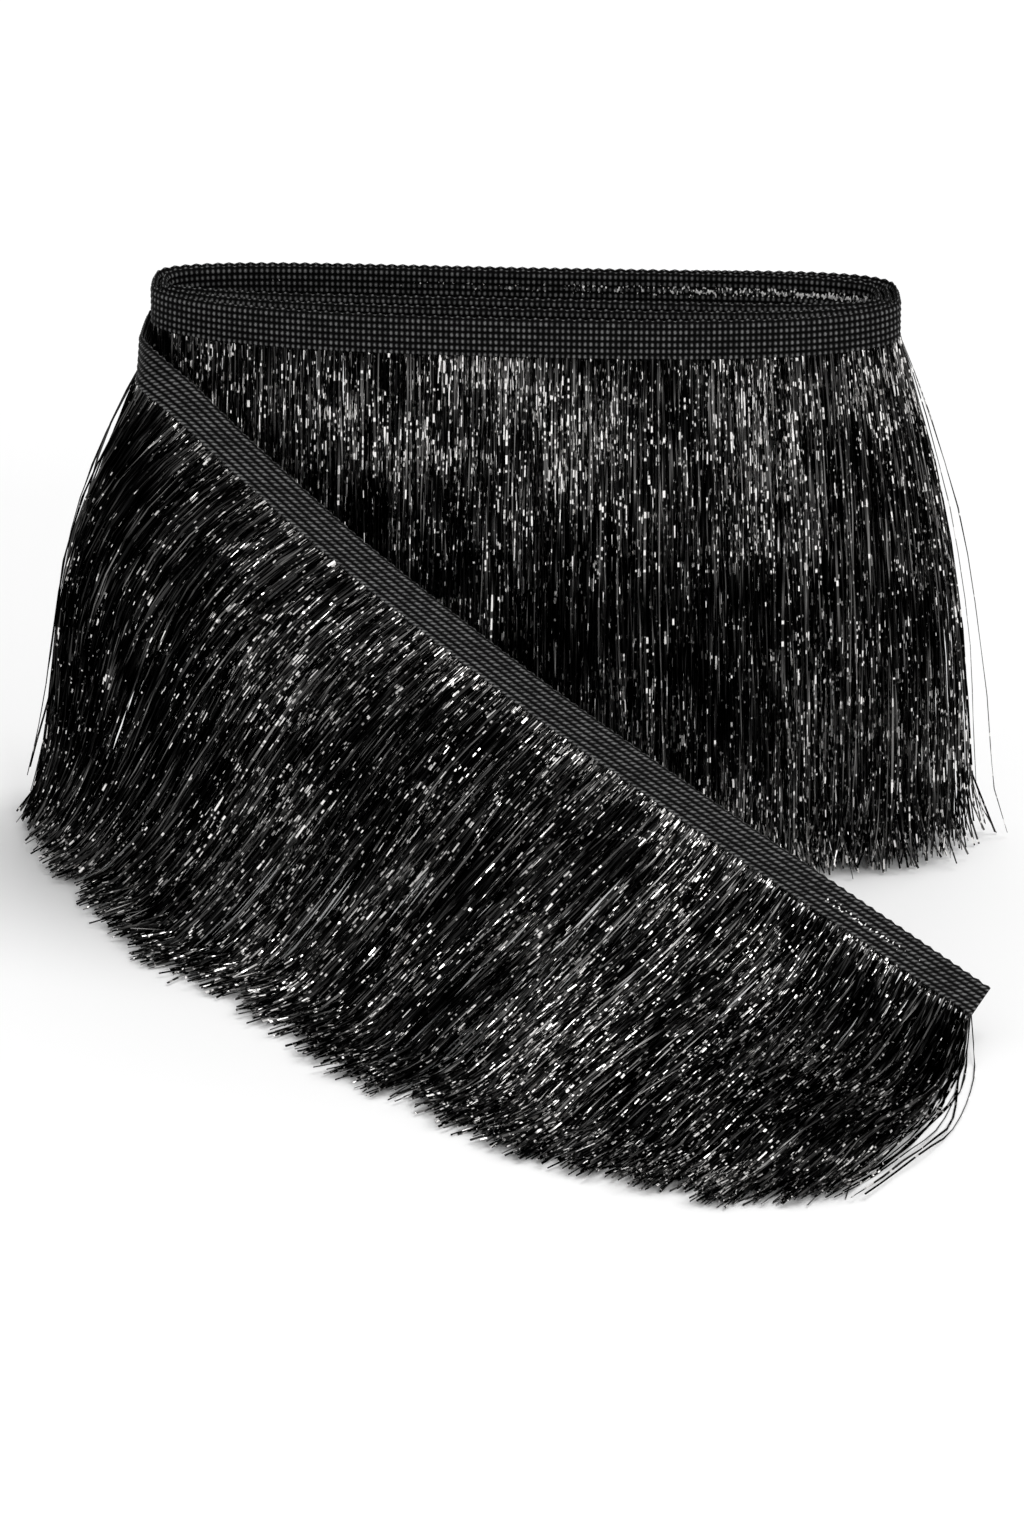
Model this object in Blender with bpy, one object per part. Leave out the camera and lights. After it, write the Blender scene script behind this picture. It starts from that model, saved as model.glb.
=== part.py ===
"""A metallic yarn fringe trim, wound into a hank that stands on its cut ends, with the loose end laid out in front.

The trim is one narrow knitted heading tape with yarn hanging from its lower edge. Three turns of it make the hank,
an oval loop seen from above. The loose end leaves the hank's left end, slopes down to the right and forward, and its
yarn falls to the surface and lies there, swept to the left.

Metres, +Z up. +X runs along the hank to the right and the loose end comes forward towards -Y. Tables are in
millimetres and degrees, in the hank's own frame. The whole is then set with the middle of its box over the origin.
"""

import math
import random

import bmesh
import bpy
from mathutils import Vector

MM = 0.001

# Heading tape
HEADING_WIDTH = 10.5 * MM
HEADING_THICKNESS = 1.6 * MM
HEADING_TOP = 150.0 * MM
JOIN_GAP = 0.35 * MM

# Winding of the hank, seen from above
TURNS = 2.985
HANK_MIDDLE = Vector((2.55, -3.0, 0.0)) * MM
HALF_LENGTH = 90.45 * MM
LENGTH_PER_TURN = 2.4 * MM
FRONT_BOW = 7.3 * MM
FRONT_PER_TURN = 6.6 * MM
FRONT_FULLNESS = 0.95
BACK_BOW = 13.75 * MM
BACK_PER_TURN = 3.0 * MM
BACK_FULLNESS = 0.3
YAW_OFFSET = 7.0 * MM
FRONT_DROP_PER_TURN = 0.9 * MM
DESCENT_START = 2.55
DESCENT_END = 3.0
DESCENT = 7.2 * MM
EDGE_WAVE = 0.4 * MM
EDGE_WAVES_PER_TURN = 3.0
HANK_STATIONS = 190

# Backing strip that the yarn locks grow from, and the locks
STRIP_DEPTH = 2.4 * MM
STRIP_THICKNESS = 1.8 * MM
LOCK_FILL = 0.36
LOCK_TIP_FILL = 0.17
LOCK_THICKNESS = 1.1 * MM
TIP_LIFT = 3.0 * MM
SEED = 7

# Hank's locks: number on each side, steps down each lock, how far the cut ends spread out from the roots, and how
# far they fan to the right at the hank's right end
HANK_FRINGE = (
    # name,                 turn from, turn to, locks, steps, spread (mm), fan (mm)
    ("fringe_front_outer", 2.0, 2.5, 58, 4, 7.0, 15.0),
    ("fringe_back_outer", 2.5, TURNS, 54, 4, 9.0, 14.0),
    ("fringe_front_inner", 0.0, 0.5, 30, 3, 3.0, 4.0),
    ("fringe_back_inner", 0.5, 1.0, 30, 3, 3.0, 4.0),
)
LEFT_SPREAD = 0.45
FAN_CURVE = 3
SPREAD_CURVE = 2.2
HANK_TURN_WEIGHT = 10.0 * MM

# Loose end. Each row is a place along the tape: the upper edge, how far the tape's width points below level, how far
# the yarn flares out from it, where the yarn's cut end lies, the compass angle in which it lies there, how much of it
# lies level, and how steeply it comes down to the surface. The path starts where the wound tape ends.
LOOSE_GUIDE = TURNS - 0.008
LOOSE_START = (90.0, 22.0, -117.0, 25.0, 160.0, 3.0, 74.0)
LOOSE_END = (
    # x,     y,      z,     lean, flare, tip x, tip y, angle, level, steep
    (-95.3, 6.0, 141.8, 88.0, 28.0, -125.0, 14.0, 167.0, 3.0, 74.0),
    (-94.9, -3.5, 139.8, 84.0, 34.0, -129.0, 3.0, 174.0, 4.0, 74.0),
    (-90.5, -12.5, 136.8, 70.0, 32.0, -130.5, -8.0, 180.0, 5.0, 70.0),
    (-80.5, -20.5, 130.3, 52.0, 24.0, -129.0, -20.0, 185.0, 7.0, 64.0),
    (-67.0, -29.5, 119.5, 38.0, 14.0, -124.0, -34.0, 191.0, 10.0, 54.0),
    (-41.0, -50.0, 102.0, 26.0, 4.0, -112.0, -62.0, 197.0, 14.0, 40.0),
    (-15.5, -70.0, 88.0, 20.0, 0.0, -95.0, -95.0, 202.0, 18.0, 28.0),
    (9.4, -88.0, 73.0, 18.0, 0.0, -73.0, -131.0, 207.0, 20.0, 18.0),
    (34.0, -104.0, 59.0, 18.0, 0.0, -50.0, -164.0, 212.0, 22.0, 14.0),
    (58.0, -118.0, 46.0, 17.0, 0.0, -25.0, -195.0, 217.0, 24.0, 12.0),
    (82.0, -130.0, 32.0, 15.0, 0.0, 5.0, -226.0, 222.0, 24.0, 10.0),
    (106.0, -140.0, 18.0, 14.0, 0.0, 40.0, -248.0, 229.0, 24.0, 8.0),
    (116.0, -143.5, 12.0, 14.0, 0.0, 66.0, -253.0, 236.0, 24.0, 8.0),
)
LOOSE_STATIONS = 46
LOOSE_FRINGE = (
    # name,            share from, share to, locks
    ("fringe_loose_1", 0.0, 0.27, 20),
    ("fringe_loose_2", 0.27, 0.51, 25),
    ("fringe_loose_3", 0.51, 0.75, 25),
    ("fringe_loose_4", 0.75, 1.0, 26),
)
LOOSE_TURN_WEIGHT = 4.0 * MM
LOOSE_STEPS = 5
ROOT_PULL = 0.40
REST_PULL = 0.34

# Finishes: colour, roughness, metallic
HEADING_FINISH = ((0.014, 0.014, 0.015, 1.0), 0.62, 0.0)
YARN_FINISH = ((0.03, 0.029, 0.03, 1.0), 0.3, 0.6)


def clear_scene():
    for thing in list(bpy.data.objects):
        bpy.data.objects.remove(thing, do_unlink=True)


def make_material(name, finish):
    colour, roughness, metallic = finish
    material = bpy.data.materials.new(name)
    material.use_nodes = True
    shader = material.node_tree.nodes["Principled BSDF"]
    shader.inputs["Base Color"].default_value = colour
    shader.inputs["Roughness"].default_value = roughness
    shader.inputs["Metallic"].default_value = metallic
    material.diffuse_color = colour
    return material


def wound_edge(turn):
    """The upper edge of the wound tape after that many turns from the inner end at the hank's left."""
    angle = math.pi + 2.0 * math.pi * turn
    across, along = math.sin(angle), math.cos(angle)
    half = HALF_LENGTH + LENGTH_PER_TURN * turn
    if across < 0.0:
        y = -(FRONT_BOW + FRONT_PER_TURN * turn) * abs(across) ** FRONT_FULLNESS
        drop = FRONT_DROP_PER_TURN * turn * abs(across)
    else:
        y = (BACK_BOW + BACK_PER_TURN * turn) * across ** BACK_FULLNESS
        drop = 0.0
    late = max(0.0, (turn - DESCENT_START) / (DESCENT_END - DESCENT_START))
    drop += DESCENT * late * late
    drop += EDGE_WAVE * math.sin(2.0 * math.pi * EDGE_WAVES_PER_TURN * turn) * abs(across)
    place = Vector((half * along, y - YAW_OFFSET * along, HEADING_TOP - drop))
    return HANK_MIDDLE + place


def curve_between(before, rows, share):
    """A smooth curve through rows of numbers (Catmull-Rom), with share from 0 at the first row to 1 at the last.

    The row before the first only sets the direction in which the curve starts.
    """
    place = min(max(share, 0.0), 1.0) * (len(rows) - 1)
    index = min(int(place), len(rows) - 2)
    t = place - index
    earlier = rows[index - 1] if index else before
    here, there = rows[index], rows[index + 1]
    later = rows[min(index + 2, len(rows) - 1)]
    found = []
    for a, b, c, d in zip(earlier, here, there, later):
        slope = (c - a) * t
        bend = (2.0 * a - 5.0 * b + 4.0 * c - d) * t * t
        twist = (3.0 * b - a - 3.0 * c + d) * t**3
        found.append(0.5 * (2.0 * b + slope + bend + twist))
    return found


def loose_row(share):
    """Upper edge, lean, flare, and where and how the yarn's cut end lies, at a share of the loose end's rows."""
    guide = tuple(wound_edge(LOOSE_GUIDE) / MM) + LOOSE_START
    first = tuple(wound_edge(TURNS) / MM) + LOOSE_START
    found = curve_between(guide, (first,) + LOOSE_END, share)
    x, y, z, lean, flare, tip_x, tip_y, angle, level, steep = found
    edge = Vector((x, y, z)) * MM
    tip = Vector((tip_x, tip_y, 0.0)) * MM
    return edge, math.radians(lean), math.radians(flare), tip, math.radians(angle), level * MM, math.radians(steep)


def along_at(edge_at, place, reach):
    low, high = place - reach, place + reach
    return (edge_at(high) - edge_at(low)).normalized()


def hank_station(turn):
    """Upper edge, direction along the tape, across its width to the yarn, and out of its face, on the hank."""
    reach = 0.0004
    along = along_at(wound_edge, min(max(turn, reach), TURNS - reach), reach)
    down = (Vector((0.0, 0.0, -1.0)) + along * along.z).normalized()
    return wound_edge(turn), along, down, down.cross(along)


def loose_station(share):
    """The same for the loose end, whose width leans out from the hank by the table's angle."""
    reach = 0.004
    along = along_at(lambda s: loose_row(s)[0], min(max(share, reach), 1.0 - reach), reach)
    edge, lean = loose_row(share)[:2]
    level = Vector((along.y, -along.x, 0.0)).normalized()
    below = along.cross(level)
    if below.z > 0.0:
        below.negate()
    down = level * math.cos(lean) + below * math.sin(lean)
    return edge, along, down, down.cross(along)


def spaced(station_at, start, end, count, turn_weight):
    """Places from start to end, spaced evenly by length and closer together where the tape turns."""
    samples = 1200
    places = [start + (end - start) * i / samples for i in range(samples + 1)]
    stations = [station_at(p) for p in places]
    measure = [0.0]
    for (e0, a0, _, _), (e1, a1, _, _) in zip(stations, stations[1:]):
        measure.append(measure[-1] + (e1 - e0).length + turn_weight * a0.angle(a1, 0.0))
    found, k = [], 0
    for i in range(count):
        wanted = measure[-1] * i / (count - 1)
        while k < samples - 1 and measure[k + 1] < wanted:
            k += 1
        share = (wanted - measure[k]) / max(measure[k + 1] - measure[k], 1e-12)
        found.append(places[k] + (places[k + 1] - places[k]) * share)
    return found


def link(name, mesh_data, material):
    mesh = bpy.data.meshes.new(name)
    bmesh.ops.recalc_face_normals(mesh_data, faces=mesh_data.faces)
    mesh_data.to_mesh(mesh)
    mesh_data.free()
    mesh.materials.append(material)
    thing = bpy.data.objects.new(name, mesh)
    bpy.context.scene.collection.objects.link(thing)
    return thing


def heading(name, stations, material):
    """The heading tape as one flat band swept along its stations."""
    bm = bmesh.new()
    half = HEADING_THICKNESS / 2.0
    rings = []
    for edge, _, down, out in stations:
        low = edge + down * HEADING_WIDTH
        ring = (edge + out * half, low + out * half, low - out * half, edge - out * half)
        rings.append([bm.verts.new(corner) for corner in ring])
    for ring, following in zip(rings, rings[1:]):
        for i in range(4):
            j = (i + 1) % 4
            bm.faces.new((ring[i], ring[j], following[j], following[i]))
    bm.faces.new(rings[0])
    bm.faces.new(rings[-1])
    return link(name, bm, material)


def fringe(name, stations, lock_rings, flat_side, material):
    """A strip under the heading with one three-sided lock of yarn hanging from each stretch of it.

    flat_side is 1.0 where a lock's wide face is on the tape's outer side, and -1.0 where it is underneath.
    """
    bm = bmesh.new()
    half = STRIP_THICKNESS / 2.0 * flat_side
    wide_top, wide_low, thin_top, thin_low = [], [], [], []
    for edge, _, down, out in stations:
        top = edge + down * (HEADING_WIDTH + JOIN_GAP)
        low = top + down * STRIP_DEPTH
        wide_top.append(bm.verts.new(top + out * half))
        wide_low.append(bm.verts.new(low + out * half))
        thin_top.append(bm.verts.new(top - out * half))
        thin_low.append(bm.verts.new(low - out * half))
    last = len(stations) - 1
    for i in range(last):
        j = i + 1
        bm.faces.new((wide_top[i], wide_top[j], wide_low[j], wide_low[i]))
        bm.faces.new((thin_top[i], thin_top[j], thin_low[j], thin_low[i]))
        bm.faces.new((wide_top[i], wide_top[j], thin_top[j], thin_top[i]))
        bm.faces.new((wide_low[j], thin_low[j], thin_low[i]))
        ring = [wide_low[i], wide_low[j], thin_low[i]]
        for corners in lock_rings[i]:
            following = [bm.verts.new(corner) for corner in corners]
            for k in range(3):
                m = (k + 1) % 3
                bm.faces.new((ring[k], ring[m], following[m], following[k]))
            ring = following
        bm.faces.new(ring)
    for i in (0, last):
        bm.faces.new((wide_top[i], wide_low[i], thin_low[i], thin_top[i]))
    return link(name, bm, material)


def lock_ring(centre, side, face, half_width, half_thickness):
    """Three corners of a lock's section: two on its wide face, one opposite."""
    wide = centre + face * half_thickness
    return (wide - side * half_width, wide + side * half_width, centre - face * half_thickness)


def standing_lock(turn, pitch, steps, spread, fan, chance):
    """Sections of a lock of the hank, from under its root to its cut end on the surface."""
    edge, along, down, out = hank_station(turn)
    root = edge + down * (HEADING_WIDTH + JOIN_GAP + STRIP_DEPTH)
    side = Vector((along.x, along.y, 0.0)).normalized()
    face = Vector((out.x, out.y, 0.0)).normalized()
    left = max(0.0, -face.x) ** 2
    right = max(0.0, (edge.x - HANK_MIDDLE.x) / (HALF_LENGTH + LENGTH_PER_TURN * turn))
    reach = face * spread * (1.0 + (LEFT_SPREAD - 1.0) * left) + Vector((fan * right**FAN_CURVE, 0.0, 0.0))
    drift = chance.uniform(-0.15, 0.15) * pitch
    lift = TIP_LIFT * max(0.0, chance.uniform(-1.0, 1.0))
    rings = []
    for k in range(1, steps + 1):
        fall = (k / steps) ** 1.3
        centre = root + reach * (1.0 - (1.0 - fall) ** SPREAD_CURVE) + side * drift * fall
        centre.z = root.z + (lift - root.z) * fall
        fill = LOCK_FILL + (LOCK_TIP_FILL - LOCK_FILL) * max(0.0, 2.0 * fall - 1.0)
        rings.append(lock_ring(centre, side, face, fill * pitch, LOCK_THICKNESS / 2.0))
    return rings


def lying_lock(start, end, chance):
    """Sections of a lock of the loose end: out from the tape, down to the surface, then level along it."""
    share = (start + end) / 2.0
    edge, along, down, out = loose_station(share)
    _, _, flare, tip, angle, level, steep = loose_row(share)
    pitch = (loose_row(end)[0] - loose_row(start)[0]).length
    lie = Vector((math.cos(angle), math.sin(angle), 0.0))
    across = lie.cross(Vector((0.0, 0.0, 1.0)))
    if across.dot(along) < 0.0:
        across.negate()
    spacing = loose_row(end)[3] - loose_row(start)[3]
    tip_pitch = min(pitch, abs(spacing.dot(across)))
    root = edge + down * (HEADING_WIDTH + JOIN_GAP + STRIP_DEPTH)
    half = LOCK_THICKNESS / 2.0
    tip = tip + lie * chance.uniform(-2.0, 1.0) * MM
    land = tip - lie * level + Vector((0.0, 0.0, half))
    reach = (land - root).length
    first = root + (down * math.cos(flare) + out * math.sin(flare)) * reach * ROOT_PULL
    second = land - (lie * math.cos(steep) - Vector((0.0, 0.0, math.sin(steep)))) * reach * REST_PULL
    rings = []
    for k in range(1, LOOSE_STEPS + 1):
        t = k / LOOSE_STEPS
        s = 1.0 - t
        centre = root * s**3 + first * 3.0 * s * s * t + second * 3.0 * s * t * t + land * t**3
        way = (first - root) * s * s + (second - first) * 2.0 * s * t + (land - second) * t * t
        way.normalize()
        side = along.lerp(across, t)
        side = (side - way * side.dot(way)).normalized()
        under = side.cross(way).normalized()
        if under.dot(out) > 0.0:
            under.negate()
        rings.append(lock_ring(centre, side, under, LOCK_FILL * (pitch * s + tip_pitch * t), half))
    end = tip + Vector((0.0, 0.0, half))
    rings.append(lock_ring(end, across, Vector((0.0, 0.0, -1.0)), LOCK_TIP_FILL * tip_pitch, half))
    return rings


def parted(station_at, start, end):
    """The two ends of a strip, drawn in by half a joining gap so that neighbouring strips stay apart."""
    reach = (end - start) * 1e-3
    low = JOIN_GAP * reach / (station_at(start + reach)[0] - station_at(start)[0]).length
    high = JOIN_GAP * reach / (station_at(end)[0] - station_at(end - reach)[0]).length
    return start + low, end - high


def hank_fringe(material, chance):
    for name, start, end, locks, steps, spread, fan in HANK_FRINGE:
        start, end = parted(hank_station, start, end)
        places = spaced(hank_station, start, end, locks + 1, HANK_TURN_WEIGHT)
        stations = [hank_station(p) for p in places]
        rings = [
            standing_lock((low + high) / 2.0, (b[0] - a[0]).length, steps, spread * MM, fan * MM, chance)
            for low, high, a, b in zip(places, places[1:], stations, stations[1:])
        ]
        fringe(name, stations, rings, 1.0, material)


def loose_fringe(material, chance):
    for name, start, end, locks in LOOSE_FRINGE:
        start, end = parted(loose_station, start, end)
        places = spaced(loose_station, start, end, locks + 1, LOOSE_TURN_WEIGHT)
        stations = [loose_station(p) for p in places]
        rings = [lying_lock(low, high, chance) for low, high in zip(places, places[1:])]
        fringe(name, stations, rings, -1.0, material)


def set_over_origin():
    """Moves every piece so that the middle of the whole box stands over the origin, with its underside at zero."""
    things = [o for o in bpy.data.objects if o.type == "MESH"]
    corners = [v.co for o in things for v in o.data.vertices]
    low = Vector([min(c[k] for c in corners) for k in range(3)])
    high = Vector([max(c[k] for c in corners) for k in range(3)])
    shift = Vector((-(low.x + high.x) / 2.0, -(low.y + high.y) / 2.0, -low.z))
    for thing in things:
        for vertex in thing.data.vertices:
            vertex.co += shift


def squared_end(stations):
    """The same stations, with the last stretch flat and straight, as the cut end is."""
    edge, along, down, out = stations[-2]
    reach = (stations[-1][0] - edge).length
    return stations[:-1] + [(edge + along * reach, along, down, out)]


def main():
    clear_scene()
    chance = random.Random(SEED)
    tape = make_material("heading_tape", HEADING_FINISH)
    yarn = make_material("metallic_yarn", YARN_FINISH)
    start, end = parted(hank_station, 0.0, TURNS)
    wound = spaced(hank_station, start, end, HANK_STATIONS, 25.0 * MM)
    heading("heading_hank", [hank_station(p) for p in wound], tape)
    start, end = parted(loose_station, 0.0, 1.0)
    laid = spaced(loose_station, start, end, LOOSE_STATIONS, 20.0 * MM)
    heading("heading_loose", squared_end([loose_station(p) for p in laid]), tape)
    hank_fringe(yarn, chance)
    loose_fringe(yarn, chance)
    set_over_origin()


main()
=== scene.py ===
"""The looks of a black metallic fringe trim: a knitted tape wound into a hank, its yarn, and the loose end in front.

Metres, +Z up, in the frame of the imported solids. Tables are in millimetres and degrees, in the hank's own frame, and
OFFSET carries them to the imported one.
"""

import math

import bmesh
import bpy
import numpy as np
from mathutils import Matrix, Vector


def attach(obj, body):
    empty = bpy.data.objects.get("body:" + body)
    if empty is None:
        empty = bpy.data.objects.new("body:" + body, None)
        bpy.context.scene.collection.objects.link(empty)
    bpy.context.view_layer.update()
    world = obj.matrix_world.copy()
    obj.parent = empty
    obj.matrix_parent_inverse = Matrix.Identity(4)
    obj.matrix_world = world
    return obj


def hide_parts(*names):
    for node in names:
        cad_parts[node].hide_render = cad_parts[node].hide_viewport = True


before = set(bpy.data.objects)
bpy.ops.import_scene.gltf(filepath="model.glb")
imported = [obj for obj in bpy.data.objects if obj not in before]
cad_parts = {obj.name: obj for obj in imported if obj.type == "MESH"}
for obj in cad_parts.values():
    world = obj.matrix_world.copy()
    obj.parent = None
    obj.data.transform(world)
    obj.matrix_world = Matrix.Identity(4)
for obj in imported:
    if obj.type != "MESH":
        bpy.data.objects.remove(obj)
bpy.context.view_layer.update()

MM = 0.001
OFFSET = np.array((4.35407, 110.55635, 0.0)) * MM
UP = np.array((0.0, 0.0, 1.0))

# Heading tape
HEADING_WIDTH = 10.5 * MM
STITCH = 1.42 * MM
WALES = 6
EDGE_THICKNESS = 0.55 * MM
GROOVE_THICKNESS = 0.95 * MM
CROWN = 0.75 * MM
STITCH_DIP = 0.55
SCALLOP = 0.45 * MM
LIP = 0.3 * MM

# Winding of the hank, seen from above
TURNS = 2.985
HANK_MIDDLE = np.array((2.55, -3.0, 0.0)) * MM
HEADING_TOP = 150.0 * MM
HALF_LENGTH = 90.45 * MM
LENGTH_PER_TURN = 2.4 * MM
FRONT_BOW = 7.3 * MM
FRONT_PER_TURN = 6.6 * MM
FRONT_FULLNESS = 0.95
BACK_BOW = 13.75 * MM
BACK_PER_TURN = 3.0 * MM
BACK_FULLNESS = 0.3
YAW_OFFSET = 7.0 * MM
FRONT_DROP_PER_TURN = 0.9 * MM
DESCENT_START = 2.55
DESCENT_END = 3.0
DESCENT = 12.0 * MM
BACK_RISE = 1.7 * MM
EDGE_WAVE = 0.4 * MM
EDGE_WAVES_PER_TURN = 3.0

# Loose end: upper edge, lean below level, flare of the yarn, its cut end, the angle in which it lies there, how much
# of it lies level, how steeply it comes down, and how far it leaves turned along the tape.
LOOSE_GUIDE = TURNS - 0.008
LOOSE_START = (90.0, 0.0, -117.0, 38.0, 140.0, 1.0, 74.0, 2.0)
LOOSE_END = (
    # x,     y,      z,     lean, flare, tip x, tip y, angle, level, steep, turn
    (-95.5, 6.0, 138.0, 88.0, -1.0, -123.0, 30.0, 142.0, 1.0, 71.0, 2.0),
    (-95.2, -3.5, 137.6, 84.0, -2.0, -124.5, 24.0, 142.0, 1.0, 70.0, 5.0),
    (-91.0, -12.5, 136.0, 66.0, -2.0, -125.5, 18.0, 145.0, 1.0, 68.0, 9.0),
    (-80.5, -20.5, 128.9, 44.0, -1.0, -126.5, 11.0, 150.0, 1.0, 63.0, 1.0),
    (-67.0, -29.5, 118.0, 32.0, 0.0, -126.5, 1.0, 157.0, 2.0, 56.0, -3.0),
    (-41.0, -50.0, 100.0, 27.0, 0.0, -117.0, -34.0, 178.0, 5.0, 42.0, -5.0),
    (-15.5, -70.0, 84.9, 27.0, 0.0, -95.0, -86.0, 205.0, 9.0, 31.0, -2.0),
    (9.4, -88.0, 70.8, 27.0, 0.0, -67.0, -130.0, 220.0, 13.0, 25.0, 1.0),
    (34.0, -104.0, 57.6, 27.0, 0.0, -42.0, -167.0, 228.0, 16.0, 20.0, 2.0),
    (58.0, -118.0, 44.8, 28.0, 0.0, -16.0, -199.0, 231.0, 17.0, 17.0, 4.0),
    (82.0, -130.0, 31.8, 29.0, 0.0, 15.0, -229.5, 234.0, 17.0, 14.0, 6.0),
    (106.0, -140.0, 18.0, 30.0, 0.0, 50.0, -248.0, 238.0, 17.0, 12.0, 9.0),
    (116.0, -143.5, 12.0, 31.0, 0.0, 73.0, -247.0, 240.0, 17.0, 12.0, 11.0),
)
ROOT_PULL = 0.40
REST_PULL = 0.34

# Yarn of the hank: how far it spreads out of the tape's face and fans out to the right, from the inner yarns to the
# outer ones, and how it drifts and curls. Several plies of tape can share one piece.
SPREAD_INNER, SPREAD_BY_LAYER = -0.3, 1.35
SPREAD_CURVE = 2.2
FAN_INNER, FAN_BY_LAYER = 0.35, 0.75
FAN_CURVE = 3
LEFT_SPREAD = 0.45
DRIFT_CURVE = 1.6
HANK_SCATTER = 0.6 * MM
HANK_WANDER = 0.35 * MM, 0.3 * MM
CURL_FROM = 0.84
CURL_SIDE = 3.4 * MM
CURL_OUT, CURL_OUT_SPREAD = 1.2 * MM, 2.2 * MM
HANK_YARN = (
    # piece,         replaced node,        plies as (from, to),        yarns, points, spread, fan
    ("yarn_front", "fringe_front_outer", ((2.0, 2.5),), 2400, 14, 7.5, 11.0),
    ("yarn_back", "fringe_back_outer", ((2.5, TURNS),), 1900, 12, 8.5, 10.5),
    ("yarn_front_inside", "fringe_front_inner", ((0.0, 0.5), (1.0, 1.5)), 1000, 9, 4.0, 8.0),
    ("yarn_back_inside", "fringe_back_inner", ((0.5, 1.0), (1.5, 2.0)), 900, 9, 4.0, 8.0),
)
LOOSE_YARN = (
    # piece,        replaced node,    share from, to, yarns, points
    ("yarn_loose_1", "fringe_loose_1", 0.0, 0.27, 950, 14),
    ("yarn_loose_2", "fringe_loose_2", 0.27, 0.51, 1200, 14),
    ("yarn_loose_3", "fringe_loose_3", 0.51, 0.75, 1200, 14),
    ("yarn_loose_4", "fringe_loose_4", 0.75, 1.0, 1250, 14),
)
YARN_WIDTH = 0.43 * MM
YARN_THICKNESS = 0.22 * MM
TWIST = 0.7
KINK = 0.09 * MM
LOCK_DRIFT = 1.5 * MM
ROOT_DEPTH = 0.8 * MM
ROOT_SPREAD = 0.5 * MM
ROOT_JITTER = 0.28
FLOOR_CLEARANCE = 0.3 * MM

# Yarn of the loose end: how it lies in layers, drifts, curls, and comes to be unruly towards the cut end
LOOSE_SCATTER = 0.9 * MM
LENGTH_SCATTER = 2.4 * MM
LENGTH_LEAST, LENGTH_MOST = -6.0 * MM, 5.0 * MM
LAND_HEIGHT = 5.0 * MM
TIP_HEIGHT = 4.0 * MM
ROOT_FULLNESS = 2.6 * MM
REST_FULLNESS = 2.0 * MM
DIRECTION_SCATTER = 0.03
LOOSE_CURL_SIDE = 1.8 * MM
LOOSE_CURL_UP = 1.3 * MM
UNRULY_FROM, UNRULY_WITHIN = 0.7, 0.2
CUT_END_FROM, CUT_END_WITHIN = 0.965, 0.035
START_UNTIL, START_WITHIN = 0.34, 0.22

# How much shorter some yarns are cut, as shares of their length: usual and most
HANK_TRIM = (0.028, 0.09)
LOOSE_TRIM = (0.03, 0.1)

# Stray yarns: their share anywhere, their share at most at the hank's right, at the cut end and at the start of the
# loose end, and how far they stand out
HANK_STRAYS, RIGHT_STRAYS = 0.006, 0.10
LOOSE_STRAYS, CUT_END_STRAYS, START_STRAYS = 0.008, 0.95, 0.08
HANK_STRAY_REACH = 7.0 * MM
HANK_STRAY_FLICK = 5.0 * MM
CUT_END_REACH = 3.0 * MM
CUT_END_STRAY_REACH = 9.0 * MM
START_STRAY_REACH = 7.0 * MM
START_STRAY_FLARE = 0.5

# The yarn's texture coordinates: a number for each yarn with a step to each of its sides, and ten units a metre along
SIDE_STEP = 0.013
NUMBER_SPREAD = 977.0
LENGTH_UNITS = 10.0

# How many painted glints, and how light a painted sheen, the yarn has at these shares of 150 mm below the tape, 0.5
# being the middle of the noise: painted light and painted shade along the yarn's length
PAINTED_GLINT_PLACES = (0.0, 0.03, 0.13, 0.26, 0.45, 0.62, 0.8, 0.93)
HANK_PAINTED_GLINTS = (0.485, 0.51, 0.515, 0.495, 0.485, 0.467, 0.482, 0.52)
LOOSE_PAINTED_GLINTS = (0.56, 0.465, 0.465, 0.475, 0.48, 0.48, 0.52, 0.56)
PAINTED_GLINT_REACH = 0.15 * LENGTH_UNITS

# Painted shade on the yarn, fewer painted glints and a darker film: left of one place, and at the right under the
# loose tape's end
PAINTED_SHADE_LEFT_OF = -0.065
PAINTED_SHADE_LEFT_RATE = 2.2
PAINTED_SHADE_LEFT_MOST = 0.075
PAINTED_SHADE_UNDER_END_FROM = 0.05

# Camera, in the hank's own frame
CAMERA_PLACE = np.array((0.0, -1476.4, 527.6)) * MM
CAMERA_DOWN = 19.0
CAMERA_LENS = 138.08
CAMERA_SENSOR = 36.0


def unit(vectors):
    return vectors / np.maximum(np.linalg.norm(vectors, axis=-1, keepdims=True), 1e-12)


def dot(a, b):
    return (a * b).sum(-1, keepdims=True)


def bent(a):
    """Numbers as a column, to scale rows of vectors."""
    return np.asarray(a, float)[..., None]


# Paths of the tape


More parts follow.
